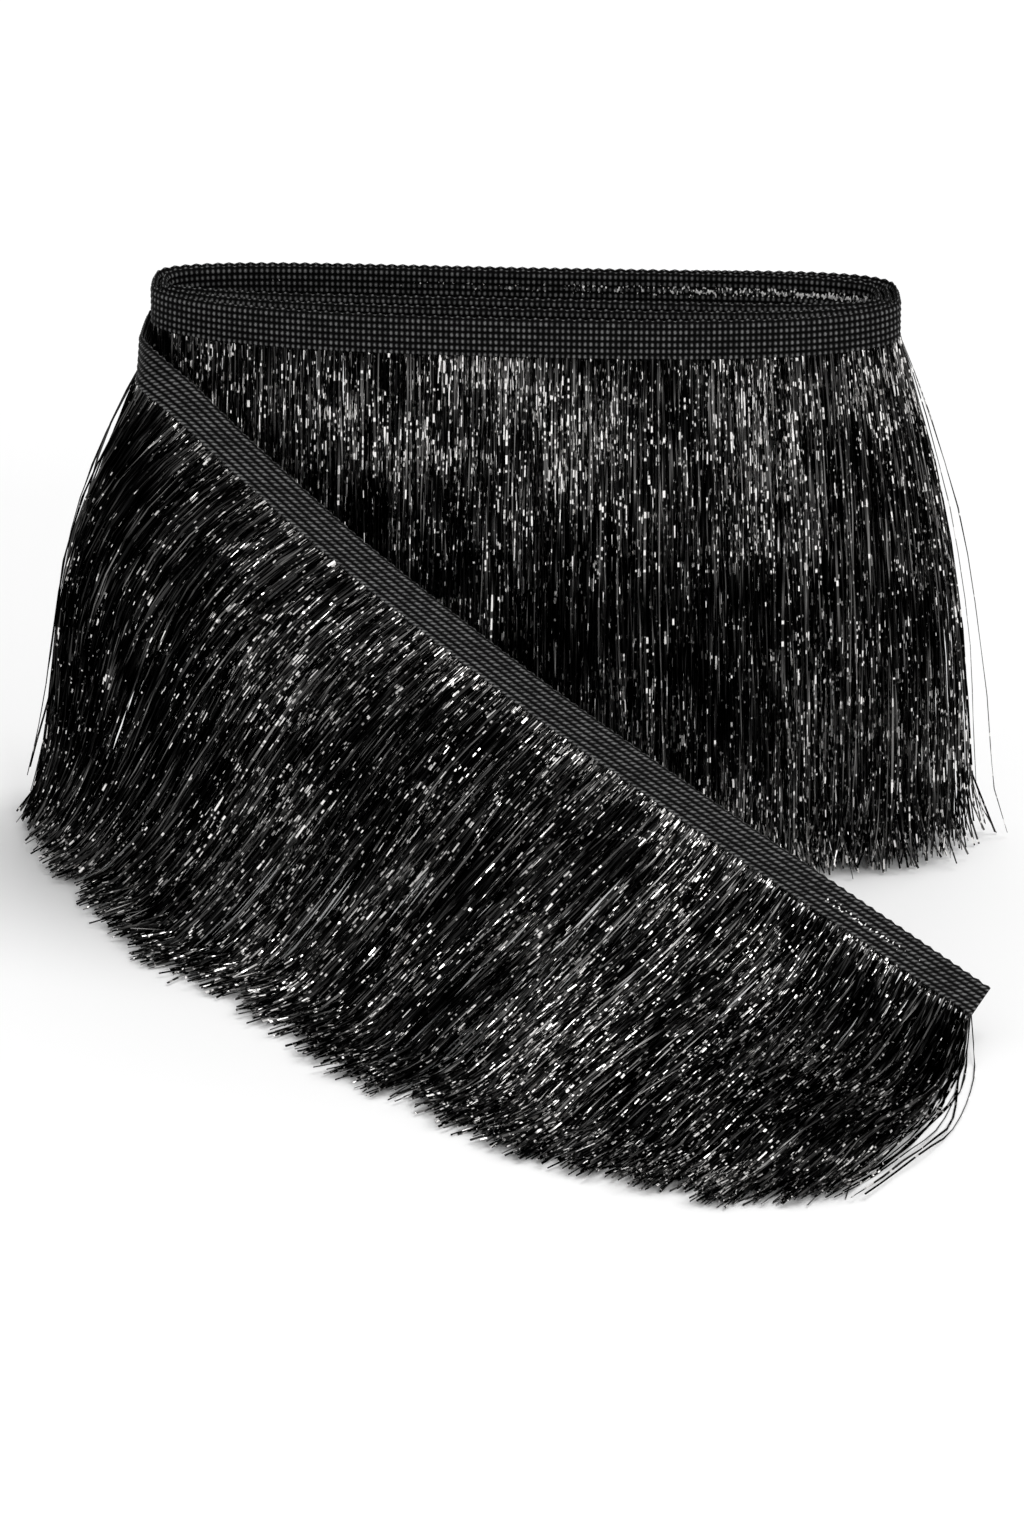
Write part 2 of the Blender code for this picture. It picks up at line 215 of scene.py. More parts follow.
def wound_edge(turn):
    """The upper edge of the wound tape after that many turns from the inner end at the hank's left."""
    turn = np.asarray(turn, float)
    angle = np.pi + 2.0 * np.pi * turn
    across, along = np.sin(angle), np.cos(angle)
    half = HALF_LENGTH + LENGTH_PER_TURN * turn
    depth = np.abs(across)
    front = -(FRONT_BOW + FRONT_PER_TURN * turn) * depth**FRONT_FULLNESS
    back = (BACK_BOW + BACK_PER_TURN * turn) * depth**BACK_FULLNESS
    y = np.where(across < 0.0, front, back)
    late = np.clip((turn - DESCENT_START) / (DESCENT_END - DESCENT_START), 0.0, None)
    drop = np.where(across < 0.0, FRONT_DROP_PER_TURN * turn * depth, 0.0) + DESCENT * late**2
    drop = drop - np.where(across > 0.0, BACK_RISE * depth**BACK_FULLNESS, 0.0)
    drop = drop + EDGE_WAVE * np.sin(2.0 * np.pi * EDGE_WAVES_PER_TURN * turn) * depth
    place = np.stack((half * along, y - YAW_OFFSET * along, HEADING_TOP - drop), -1)
    return HANK_MIDDLE + place + OFFSET


def loose_rows(share):
    """The loose end's rows at shares of its length, on a smooth curve through them. Lengths come in metres."""
    ends = [tuple((wound_edge(t) - OFFSET) / MM) + LOOSE_START for t in (LOOSE_GUIDE, TURNS)]
    rows = np.array(ends + list(LOOSE_END) + [LOOSE_END[-1]])
    count = len(rows) - 3
    place = np.clip(np.asarray(share, float), 0.0, 1.0) * count
    index = np.minimum(place.astype(int), count - 1)
    t = bent(place - index)
    a, b, c, d = (rows[index + k] for k in range(4))
    found = 0.5 * (
        2.0 * b + (c - a) * t + (2.0 * a - 5.0 * b + 4.0 * c - d) * t**2 + (3.0 * b - a - 3.0 * c + d) * t**3
    )
    edge = found[..., 0:3] * MM + OFFSET
    tip = np.concatenate((found[..., 5:7] * MM, np.zeros_like(found[..., :1])), -1) + OFFSET
    lean, flare, angle, steep, turned = (np.radians(found[..., k]) for k in (3, 4, 7, 9, 10))
    return edge, lean, flare, tip, angle, found[..., 8] * MM, steep, turned


def hank_frame(turn):
    """Upper edge, direction along the tape, across its width to the yarn, and out of its face, on the hank."""
    reach = 0.0004
    middle = np.clip(turn, reach, TURNS - reach)
    along = unit(wound_edge(middle + reach) - wound_edge(middle - reach))
    down = unit(along * along[..., 2:3] - UP)
    return wound_edge(turn), along, down, np.cross(down, along)


def loose_frame(share):
    """The same for the loose end."""
    reach = 0.004
    middle = np.clip(share, reach, 1.0 - reach)
    along = unit(loose_rows(middle + reach)[0] - loose_rows(middle - reach)[0])
    edge, lean = loose_rows(share)[:2]
    level = unit(np.stack((along[..., 1], -along[..., 0], np.zeros_like(along[..., 0])), -1))
    below = np.cross(along, level)
    below = below * -np.sign(below[..., 2:3])
    down = level * bent(np.cos(lean)) + below * bent(np.sin(lean))
    return edge, along, down, np.cross(down, along)


def even_places(frame_at, start, end, step):
    """Places from start to end, a step apart along the tape, and the length they cover."""
    fine = np.linspace(start, end, 4000)
    edge = frame_at(fine)[0]
    run = np.concatenate(([0.0], np.cumsum(np.linalg.norm(np.diff(edge, axis=0), axis=1))))
    count = max(int(round(run[-1] / step)), 1)
    return np.interp(np.linspace(0.0, run[-1], count + 1), run, fine), run[-1]


# Heading tape


def tape(name, frame_at, start, end, painted_float_glints, material):
    """A knitted tape: a closed band with a raised wale for every chain of stitches and scallops on its upper edge."""
    places, length = even_places(frame_at, start, end, STITCH / 2.0)
    edge, along, down, out = frame_at(places)
    rows = len(places)
    side = np.arange(2 * WALES + 1)
    share = np.concatenate((side, [2 * WALES], side[::-1], [0.0])) / (2.0 * WALES)
    facing = np.concatenate((np.ones(len(side)), [0.0], -np.ones(len(side)), [0.0]))
    around = len(share)
    bm = bmesh.new()
    bmesh.ops.create_grid(bm, x_segments=rows - 1, y_segments=around, size=1.0)
    mesh = bpy.data.meshes.new(name)
    bm.to_mesh(mesh)
    bm.free()
    flat = corners_of(mesh)
    i = np.rint((flat[:, 0] + 1.0) / 2.0 * (rows - 1)).astype(int)
    step = np.rint((flat[:, 1] + 1.0) / 2.0 * around).astype(int)
    j = step % around
    wale = np.abs(np.sin(np.pi * share[j] * WALES))
    beat = np.where(i % 2 == 0, 1.0, STITCH_DIP)
    rim = np.minimum(share[j], 1.0 - share[j]) < 1e-6
    thick = np.where(rim, EDGE_THICKNESS, GROOVE_THICKNESS + CROWN * wale * beat) / 2.0
    scallop = SCALLOP * (0.5 + 0.5 * np.cos(np.pi * i / 2.0)) * (facing[j] == 0.0) * (share[j] < 0.5)
    lip = np.where(facing[j] == 0.0, LIP, 0.0) * np.where(share[j] < 0.5, -1.0, 1.0)
    width = share[j] * (HEADING_WIDTH - 2.0 * LIP) + LIP + lip - scallop
    place = edge[i] + down[i] * bent(width) + out[i] * bent(thick * facing[j])
    mesh.vertices.foreach_set("co", place.ravel())
    corner = np.zeros(len(mesh.loops), int)
    mesh.loops.foreach_get("vertex_index", corner)
    uv = np.stack((i * 0.5, step * 0.5), -1)[corner]
    mesh.uv_layers.new(name="knit").data.foreach_set("uv", uv.ravel())
    # Where the lurex floats get painted glints.
    painted_float_glint_share = painted_float_glints(i / (rows - 1.0), share[j], facing[j])
    mesh.attributes.new("lurex", "FLOAT", "POINT").data.foreach_set("value", painted_float_glint_share)
    bm = bmesh.new()
    bm.from_mesh(mesh)
    bmesh.ops.remove_doubles(bm, verts=bm.verts, dist=1e-6)
    rims = [e for e in bm.edges if e.is_boundary]
    bmesh.ops.holes_fill(bm, edges=rims, sides=0)
    bmesh.ops.recalc_face_normals(bm, faces=bm.faces)
    bm.to_mesh(mesh)
    bm.free()
    mesh.polygons.foreach_set("use_smooth", np.ones(len(mesh.polygons), bool))
    mesh.materials.append(material)
    piece = bpy.data.objects.new(name, mesh)
    bpy.context.scene.collection.objects.link(piece)
    return piece, length


def hank_painted_float_glints(share, across, facing):
    """Where lurex floats with painted glints show on the wound tape: on its inner face, below the first wales, most at
    the right.
    """
    turn = share * TURNS
    right = np.clip(np.cos(np.pi + 2.0 * np.pi * turn) * 0.4 + 0.62, 0.0, 1.0)
    below = np.clip((across - 0.22) / 0.06, 0.0, 1.0) * np.clip((0.62 - across) / 0.1, 0.0, 1.0)
    return np.where(facing < 0.0, 1.0, 0.0) * right * below


def loose_painted_float_glints(share, across, facing):
    """The same on the loose end: along its middle wales, near the cut end."""
    along = np.clip(1.4 - np.abs(share - 0.885) / 0.07, 0.0, 0.93)
    middle = np.clip(1.5 - np.abs(across - 0.52) / 0.1, 0.0, 1.0)
    return np.where(facing > 0.0, along * middle, 0.0)


# Yarn


def thread(points):
    """One straight flat thread of three sides, closed at both ends, with a ring of corners for every point."""
    bm = bmesh.new()
    bmesh.ops.create_cone(bm, cap_ends=True, segments=3, radius1=1.0, radius2=1.0, depth=1.0)
    sides = [e for e in bm.edges if abs(e.verts[0].co.z - e.verts[1].co.z) > 0.5]
    bmesh.ops.subdivide_edges(bm, edges=sides, cuts=points - 2)
    mesh = bpy.data.meshes.new("thread")
    bm.to_mesh(mesh)
    bm.free()
    return mesh


def rows_of(mesh, count):
    """A mesh with that many copies of another, in order."""
    one = bpy.data.objects.new("one", mesh)
    bpy.context.scene.collection.objects.link(one)
    array = one.modifiers.new("rows", "ARRAY")
    array.count = count
    depsgraph = bpy.context.evaluated_depsgraph_get()
    joined = bpy.data.meshes.new_from_object(one.evaluated_get(depsgraph))
    bpy.data.objects.remove(one)
    bpy.data.meshes.remove(mesh)
    return joined


def corners_of(mesh):
    """The mesh's corners as rows of three."""
    flat = np.zeros(len(mesh.vertices) * 3)
    mesh.vertices.foreach_get("co", flat)
    return flat.reshape(-1, 3)


def runs(paths):
    """The distance along each path at each of its points."""
    steps = np.linalg.norm(np.diff(paths, axis=1), axis=2)
    return np.concatenate((np.zeros((len(paths), 1)), np.cumsum(steps, 1)), 1)


def yarn_piece(name, paths, chance, material):
    """Twisted flat yarns along their paths, in one mesh."""
    count, points = paths.shape[:2]
    straight = thread(points)
    corners = corners_of(straight)
    ring = np.rint((corners[:, 2] + 0.5) * (points - 1)).astype(int)
    sides = []
    for face in straight.polygons:
        side = 3.0 * math.atan2(face.normal.y, face.normal.x) / math.tau
        sides += [round(side + 0.5)] * len(face.vertices)
    mesh = rows_of(straight, count)
    tangent = unit(np.gradient(paths, axis=1))
    seed = unit(chance.normal(size=(count, 1, 3)))
    first = unit(seed - tangent * dot(seed, tangent))
    second = np.cross(tangent, first)
    twist = chance.uniform(0.0, 2.0 * np.pi, (count, 1)) + np.cumsum(chance.normal(0.0, TWIST, (count, points)), 1)
    wide = first * bent(np.cos(twist)) + second * bent(np.sin(twist))
    thin = second * bent(np.cos(twist)) - first * bent(np.sin(twist))
    size = chance.uniform(0.75, 1.25, (count, 1, 1))
    across = wide[:, ring] * (corners[:, 0, None] * YARN_WIDTH / 1.5)
    through = thin[:, ring] * (corners[:, 1, None] * YARN_THICKNESS / 1.73)
    mesh.vertices.foreach_set("co", (paths[:, ring] + (across + through) * size).ravel())
    run = runs(paths)
    number = chance.random((count, 1)) + np.zeros_like(run)
    at = np.zeros(len(mesh.loops), int)
    mesh.loops.foreach_get("vertex_index", at)
    uv = np.stack((number, run * LENGTH_UNITS), -1)[:, ring].reshape(-1, 2)[at]
    uv[:, 0] += np.tile(sides, count) * SIDE_STEP
    mesh.uv_layers.new(name="yarn").data.foreach_set("uv", uv.ravel())
    mesh.update()
    mesh.materials.append(material)
    mesh.name = name
    piece = bpy.data.objects.new(name, mesh)
    bpy.context.scene.collection.objects.link(piece)
    return piece


def wander(chance, count, points, size):
    """A slow side-to-side drift of each yarn, nothing at its root."""
    t = np.linspace(0.0, 1.0, points)[None, :]
    waves = chance.uniform(0.6, 2.2, (count, 1))
    phase = chance.uniform(0.0, 2.0 * np.pi, (count, 1))
    drift = np.sin(2.0 * np.pi * waves * t + phase) - np.sin(phase)
    return size * drift * np.minimum(1.0, 3.0 * t) + chance.normal(0.0, KINK, (count, points)) * (t > 0.04)


def stitch_roots(frame_at, start, end, count, chance):
    """Places of the yarns' roots: several in each stitch, with the number of the stitch."""
    places, _ = even_places(frame_at, start, end, STITCH)
    stitches = len(places) - 1
    stitch = np.arange(count) % stitches
    share = stitch + 0.5 + chance.uniform(-ROOT_JITTER, ROOT_JITTER, count)
    return np.interp(share, np.arange(stitches + 1), places), stitch


def roots(edge, down, out, chance):
    """Where the yarns leave the tape's lower edge, anywhere in its thickness."""
    place = chance.uniform(-ROOT_SPREAD, ROOT_SPREAD, len(edge))
    return edge + down * (HEADING_WIDTH - ROOT_DEPTH) + out * bent(place)


def gathered(chance, stitch, size):
    """Locks of a few neighbouring stitches: how far each yarn is drawn aside to its lock's middle, and two drifts
    that the yarns of a lock share."""
    ends = np.cumsum(chance.integers(2, 7, int(stitch.max()) + 2))
    lock = np.searchsorted(ends, stitch + chance.uniform(-0.5, 0.5, len(stitch)), side="right")
    middle = np.concatenate(([0.0], ends))
    middle = (middle[:-1] + middle[1:]) / 2.0
    pull = (middle[lock] - stitch - 0.5) * STITCH * chance.uniform(0.1, 0.7, len(stitch))
    return pull, chance.normal(0.0, size, len(ends))[lock], chance.normal(0.0, size, len(ends))[lock]


def cut(paths, usual, most, points, chance):
    """Paths cut a little short at their ends, in even steps."""
    count, dense = paths.shape[:2]
    share = 1.0 - np.abs(chance.normal(0.0, usual, count)).clip(0.0, most)
    run = runs(paths)
    place = run[:, -1:] * bent(share) * np.linspace(0.0, 1.0, points)[None, :]
    index = np.clip((run[:, None, :] <= place[:, :, None]).sum(2) - 1, 0, dense - 2)
    rows = np.arange(count)[:, None]
    before, after = run[rows, index], run[rows, index + 1]
    part = bent((place - before) / np.maximum(after - before, 1e-9))
    return paths[rows, index] * (1.0 - part) + paths[rows, index + 1] * part


def standing_yarn(start, end, count, points, spread, fan, chance):
    """Paths of the hank's yarns under one ply, from the tape down to the surface."""
    turn, stitch = stitch_roots(hank_frame, start, end, count, chance)
    edge, along, down, out = hank_frame(turn)
    face = unit(out * np.array((1.0, 1.0, 0.0)))
    side = unit(along * np.array((1.0, 1.0, 0.0)))
    root = roots(edge, down, out, chance)
    dense = 28
    t = np.linspace(0.0, 1.0, dense)[None, :, None]
    layer = chance.random(count) ** 0.8
    left = np.clip(-face[:, 0], 0.0, None) ** 2
    middle = HANK_MIDDLE[0] + OFFSET[0]
    right = np.clip((edge[:, 0] - middle) / (HALF_LENGTH + LENGTH_PER_TURN * turn), 0.0, None)
    stray = (chance.random(count) < HANK_STRAYS + RIGHT_STRAYS * right**10) * chance.uniform(0.3, 1.0, count)
    away = spread * MM * (1.0 + (LEFT_SPREAD - 1.0) * left) * (SPREAD_INNER + SPREAD_BY_LAYER * layer)
    away = away + stray * HANK_STRAY_REACH
    reach = face * bent(away)
    fanned = fan * MM * (FAN_INNER + FAN_BY_LAYER * layer) + stray * HANK_STRAY_REACH
    reach[:, 0] += fanned * right**FAN_CURVE
    rise = 1.0 - (1.0 - t) ** SPREAD_CURVE
    pull, sideways, outwards = gathered(chance, stitch, LOCK_DRIFT)
    upper = 0.25 + 0.75 * layer
    sideways = (pull + sideways) * upper + chance.normal(0.0, HANK_SCATTER, count) * (1.0 + 5.0 * stray)
    outwards = outwards * 0.7 + chance.normal(0.0, HANK_SCATTER, count)
    flick = np.clip((t - CURL_FROM) / (1.0 - CURL_FROM), 0.0, 1.0) ** 2
    paths = root[:, None, :] + reach[:, None, :] * rise
    paths = paths + side[:, None, :] * (bent(bent(sideways)) * t**DRIFT_CURVE)
    paths = paths + face[:, None, :] * (bent(bent(outwards)) * t**DRIFT_CURVE)
    for way, size in zip((side, face), HANK_WANDER):
        paths = paths + way[:, None, :] * bent(wander(chance, count, dense, size))
    curl = side * bent(chance.normal(0.0, CURL_SIDE, count))
    curl = curl + face * bent(chance.normal(CURL_OUT, CURL_OUT_SPREAD, count))
    curl[:, 0] += stray * right**4 * HANK_STRAY_FLICK
    paths = paths + curl[:, None, :] * flick
    paths[:, :, 2] = root[:, 2:3] + (FLOOR_CLEARANCE - root[:, 2:3]) * t[..., 0]
    return cut(paths, *HANK_TRIM, points, chance)


def lying_yarn(start, end, count, points, chance):
    """Paths of the loose end's yarns: out from the tape, down to the surface, and along it to the cut ends."""
    share, stitch = stitch_roots(loose_frame, start, end, count, chance)
    edge, along, down, out = loose_frame(share)
    _, _, flare, tip, angle, level, steep, turned = loose_rows(share)
    layer = chance.random(count)
    near_end = np.clip((share - CUT_END_FROM) / CUT_END_WITHIN, 0.0, 1.0)
    near_start = np.clip((START_UNTIL - share) / START_WITHIN, 0.0, 1.0)
    unruly = np.clip((share - UNRULY_FROM) / UNRULY_WITHIN, 0.0, 1.0)
    stray = chance.random(count) < LOOSE_STRAYS + CUT_END_STRAYS * near_end**2 + START_STRAYS * near_start**2
    loose = stray * chance.random(count) ** 1.1
    outward = along * bent((layer * CUT_END_REACH + loose * CUT_END_STRAY_REACH) * near_end)
    root = roots(edge, down, out, chance)
    lie = np.stack((np.cos(angle), np.sin(angle), np.zeros(count)), -1)
    cross = np.cross(UP, lie)
    pull, aside, lifted = gathered(chance, stitch, 1.3 * LOCK_DRIFT)
    scatter = chance.normal(0.0, LOOSE_SCATTER, count) * (1.0 + 3.0 * loose)
    aside = (aside + pull) * (0.2 + 0.8 * layer) + scatter
    further = (lifted * 1.1 + chance.normal(0.0, LENGTH_SCATTER, count)).clip(LENGTH_LEAST, LENGTH_MOST)
    further = further + loose * near_start * START_STRAY_REACH
    tip = tip + cross * bent(aside) + lie * bent(further) + outward * 0.4
    land = tip - lie * bent(level) + UP * bent(FLOOR_CLEARANCE + layer * LAND_HEIGHT)
    tip = tip + UP * bent(FLOOR_CLEARANCE + layer**2 * TIP_HEIGHT + loose * 0.5 * TIP_HEIGHT)
    reach = bent(np.linalg.norm(land - root, axis=1))
    flare = flare + chance.normal(0.0, DIRECTION_SCATTER, count) * (1.0 + 1.5 * unruly)
    flare = flare + loose * near_start * START_STRAY_FLARE
    turned = turned + chance.normal(0.0, DIRECTION_SCATTER, count) * (1.0 + 2.5 * unruly)
    leave = down * bent(np.cos(flare)) + out * bent(np.sin(flare))
    leave = leave * bent(np.cos(turned)) + along * bent(np.sin(turned))
    first = root + leave * reach * ROOT_PULL * bent(chance.uniform(0.85, 1.15, count))
    first = first + out * bent(layer * ROOT_FULLNESS) + outward * 1.2
    come = lie * bent(np.cos(steep)) - UP * bent(np.sin(steep))
    second = land - come * reach * REST_PULL * bent(chance.uniform(0.85, 1.15, count))
    second = second + UP * bent(layer * REST_FULLNESS + lifted * 0.5) + outward * 0.65
    dense, lying = 24, np.array((0.33, 0.67, 1.0))
    t = np.linspace(0.0, 1.0, dense)[None, :, None]
    s = 1.0 - t
    curve = (
        root[:, None] * s**3
        + first[:, None] * 3.0 * s * s * t
        + second[:, None] * 3.0 * s * t * t
        + land[:, None] * t**3
    )
    rest = land[:, None] + (tip - land)[:, None] * lying[None, :, None]
    paths = np.concatenate((curve, rest), 1)
    dense += len(lying)
    paths = paths + cross[:, None, :] * bent(wander(chance, count, dense, (0.4 + 0.5 * bent(unruly)) * MM))
    paths = paths + UP * bent(wander(chance, count, dense, (0.25 + 0.3 * bent(unruly)) * MM))
    flick = np.linspace(-5.0, 1.0, dense).clip(0.0, 1.0) ** 2
    curl = cross * bent(chance.normal(0.0, LOOSE_CURL_SIDE, count))
    curl = curl + UP * bent(np.abs(chance.normal(0.0, LOOSE_CURL_UP, count)))
    paths = paths + (curl * bent(1.0 - 0.7 * stray))[:, None, :] * flick[None, :, None]
    paths[:, 1:, 2] = np.maximum(paths[:, 1:, 2], FLOOR_CLEARANCE)
    return cut(paths, *LOOSE_TRIM, points, chance)


# Finishes


class Nodes:
    """Short calls for adding nodes to one material."""

    def __init__(self, name):
        self.material = bpy.data.materials.new(name)
        self.material.use_nodes = True
        self.tree = self.material.node_tree
        self.shader = self.tree.nodes["Principled BSDF"]
        self.colour = self.shader.inputs["Base Color"]

    def add(self, kind, **settings):
        node = self.tree.nodes.new(kind)
        for key, value in settings.items():
            setattr(node, key, value)
        return node

    def join(self, source, target):
        self.tree.links.new(source, target)

    def math(self, operation, *values, clamp=False):
        node = self.add("ShaderNodeMath", operation=operation, use_clamp=clamp)
        for socket, value in zip(node.inputs, values):
            if isinstance(value, (int, float)):
                socket.default_value = value
            else:
                self.join(value, socket)
        return node.outputs[0]

    def vector(self, *parts):
        node = self.add("ShaderNodeCombineXYZ")
        for socket, value in zip(node.inputs, parts):
            if isinstance(value, (int, float)):
                socket.default_value = value
            else:
                self.join(value, socket)
        return node.outputs[0]

    def noise(self, vector, detail, scale=1.0):
        node = self.add("ShaderNodeTexNoise")
        node.inputs["Scale"].default_value = scale
        node.inputs["Detail"].default_value = detail
        self.join(vector, node.inputs["Vector"])
        return node.outputs["Fac"]

    def ramp(self, value, stops):
        node = self.add("ShaderNodeValToRGB")
        while len(node.color_ramp.elements) < len(stops):
            node.color_ramp.elements.new(0.5)
        for element, (place, colour) in zip(node.color_ramp.elements, stops):
            element.position = place
            element.color = (*colour, 1.0)
        self.join(value, node.inputs["Fac"])
        return node.outputs["Color"]

    def scaled(self, value, factor):
        return self.math("MULTIPLY", value, factor)

    def blend(self, share, first, second):
        """A colour between a socket's and a plain one."""
        node = self.add("ShaderNodeMix", data_type="RGBA")
        factor, a, b = node.inputs[0], node.inputs[6], node.inputs[7]
        self.join(share, factor)
        self.join(first, a)
        b.default_value = (*second, 1.0)
        return node.outputs[2]

    def bump(self, height, strength, distance):
        node = self.add("ShaderNodeBump")
        node.inputs["Strength"].default_value = strength
        node.inputs["Distance"].default_value = distance
        self.join(height, node.inputs["Height"])
        self.join(node.outputs["Normal"], self.shader.inputs["Normal"])


def grey(value, warm=0.0):
    return (value * (1.0 + warm), value, value * (1.0 - warm))


def yarn_finish(name, shares, painted_shade_under_end):
    """Metallic yarn: black film with painted sheen, greyer stretches in its colour, and short painted glints, bright
    silver dashes in its colour, at places of its own on each side of each yarn. The shares say how many painted glints
    there are from the tape to the yarn's cut end. There is painted shade, fewer glints and a darker film, at the left,
    and by the rate in its third argument under the loose tape's end."""
    n = Nodes(name)
    uv = n.add("ShaderNodeUVMap", uv_map="yarn")
    parts = n.add("ShaderNodeSeparateXYZ")
    n.join(uv.outputs["UV"], parts.inputs["Vector"])
    number, run = n.scaled(parts.outputs["X"], NUMBER_SPREAD), parts.outputs["Y"]
    # Painted glints: noise along each yarn marks bright dashes in the colour where the real film would catch the
    # light.
    fine = n.noise(n.vector(number, n.scaled(run, 21.0)), 1.0)
    slow = n.noise(n.vector(n.math("ADD", number, 40.5), n.scaled(run, 5.0)), 1.0)
    strand = n.noise(n.vector(n.math("ADD", number, 160.5), 0.0), 0.0)
    bead = n.noise(n.vector(n.math("ADD", number, 80.5), n.scaled(run, 68.0)), 0.0)
    place = n.add("ShaderNodeTexCoord").outputs["Object"]
    zone = n.math("SUBTRACT", n.noise(place, 2.0, scale=42.0), 0.5)
    # Painted light and shade along the yarn: the number of painted glints and the film's painted sheen change with the
    # distance from the tape.
    stops = [(at, grey(share)) for at, share in zip(PAINTED_GLINT_PLACES, shares)]
    painted_glint_profile = n.ramp(n.math("DIVIDE", run, PAINTED_GLINT_REACH), stops)
    sideways = n.add("ShaderNodeSeparateXYZ")
    n.join(place, sideways.inputs["Vector"])
    # Painted shade at the left end, which faces away from the lamps.
    edge = n.scaled(n.math("SUBTRACT", sideways.outputs["X"], PAINTED_SHADE_LEFT_OF), PAINTED_SHADE_LEFT_RATE)
    edge = n.math("MAXIMUM", n.math("MINIMUM", edge, 0.0), -PAINTED_SHADE_LEFT_MOST)
    # Painted shade under the loose tape's end, strongest near the tape.
    upper = n.math("SUBTRACT", 1.0, n.scaled(run, 3.0), clamp=True)
    beyond = n.math("SUBTRACT", sideways.outputs["X"], PAINTED_SHADE_UNDER_END_FROM)
    under = n.math("MULTIPLY", beyond, painted_shade_under_end, clamp=True)
    edge = n.math("SUBTRACT", edge, n.math("MULTIPLY", upper, under))
    painted_light_bias = n.math("ADD", n.scaled(zone, 0.31), n.math("ADD", edge, n.math("SUBTRACT", painted_glint_profile, 0.5)))
    painted_glint = n.math("ADD", n.math("ADD", fine, painted_light_bias), n.scaled(n.math("SUBTRACT", bead, 0.5), 0.44))
    # Painted sheen: greyer stretches in the film's colour where the real film reflects the lamps, darker where the
    # painted shade is.
    film = n.scaled(n.math("SUBTRACT", n.math("ADD", slow, strand), 1.0), 0.8)
    film = n.math("ADD", film, n.math("ADD", n.scaled(painted_light_bias, 0.6), 0.5))
    film_and_painted_sheen = n.ramp(film, ((0.4, grey(0.001)), (0.49, grey(0.01)), (0.58, grey(0.06, 0.02)), (0.7, grey(0.19, 0.02))))
    # The colour: painted glints over the black film with its painted sheen.
    n.join(n.blend(n.ramp(painted_glint, ((0.6, grey(0.0)), (0.64, grey(1.0)))), film_and_painted_sheen, grey(0.95, 0.02)), n.colour)
    n.shader.inputs["Metallic"].default_value = 1.0
    n.shader.inputs["Roughness"].default_value = 0.28
    n.shader.inputs["Specular Tint"].default_value = (0.35, 0.35, 0.35, 1.0)
    return n.material


def tape_finish(name, slant, joined):
    """Knitted tape: matt black textured yarn with painted shade between stitches and a lighter painted highlight on
    their crests, and bright lurex floats with painted glints where they show. The slant leans its stitches, and joined
    stitches run together along their wale."""
    n = Nodes(name)
    uv = n.add("ShaderNodeUVMap", uv_map="knit")
    parts = n.add("ShaderNodeSeparateXYZ")
    n.join(uv.outputs["UV"], parts.inputs["Vector"])
    along, across = parts.outputs["X"], parts.outputs["Y"]
    wale = n.math("ABSOLUTE", n.math("SINE", n.scaled(across, math.pi)))
    leaning = n.math("ADD", along, n.scaled(n.math("FRACT", across), slant))
    chain = n.math("ADD", n.scaled(n.math("COSINE", n.scaled(leaning, 2.0 * math.pi)), 0.5), 0.5)
    fibre = n.noise(n.vector(n.scaled(along, 5.0), n.scaled(across, 9.0)), 3.0)
    uneven = n.add("ShaderNodeTexWhiteNoise", noise_dimensions="2D")
    n.join(n.vector(n.math("ROUND", leaning), n.math("FLOOR", across)), uneven.inputs["Vector"])
    height = n.math("MULTIPLY", wale, n.math("ADD", n.scaled(chain, 1.0 - joined), joined))
    height = n.math("MULTIPLY", height, n.math("ADD", n.scaled(uneven.outputs["Value"], 0.3), 0.82))
    height = n.math("ADD", n.scaled(height, 0.7), n.scaled(fibre, 0.45))
    # Painted light and shade: the colour follows the knit's height, near black in the hollows between stitches and
    # lighter on the crests.
    stops = ((0.3, grey(0.0005)), (0.48, grey(0.004)), (0.65, grey(0.032)), (0.9, grey(0.17)))
    # Painted glints: bright silver specks in the colour on the lurex floats that the attribute marks.
    speck = n.noise(n.vector(n.scaled(along, 1.7), n.scaled(across, 1.3)), 1.0)
    lurex = n.add("ShaderNodeAttribute", attribute_name="lurex").outputs["Fac"]
    speck = n.math("ADD", speck, n.scaled(n.math("SUBTRACT", lurex, 1.0), 0.35))
    painted_float_glint = n.ramp(speck, ((0.54, grey(0.0)), (0.58, grey(1.0))))
    n.join(n.blend(painted_float_glint, n.ramp(height, stops), grey(0.95, 0.01)), n.colour)
    n.join(n.scaled(painted_float_glint, 0.9), n.shader.inputs["Metallic"])
    n.shader.inputs["Roughness"].default_value = 0.65
    n.shader.inputs["Specular IOR Level"].default_value = 0.04
    n.bump(height, 0.8, 0.35 * MM)
    return n.material


def floor_finish():
    n = Nodes("pale_floor")
    n.shader.inputs["Base Color"].default_value = (0.93, 0.93, 0.93, 1.0)
    n.shader.inputs["Roughness"].default_value = 0.9
    n.shader.inputs["Specular IOR Level"].default_value = 0.0
    return n.material


# Stage


def floor():
    bm = bmesh.new()
    bmesh.ops.create_grid(bm, x_segments=1, y_segments=1, size=6.0)
    mesh = bpy.data.meshes.new("floor")
    bm.to_mesh(mesh)
    bm.free()
    mesh.materials.append(floor_finish())
    piece = bpy.data.objects.new("floor", mesh)
    bpy.context.scene.collection.objects.link(piece)


def aim(thing, target):
    way = Vector(target) - thing.location
    thing.rotation_euler = way.to_track_quat("-Z", "Y").to_euler()


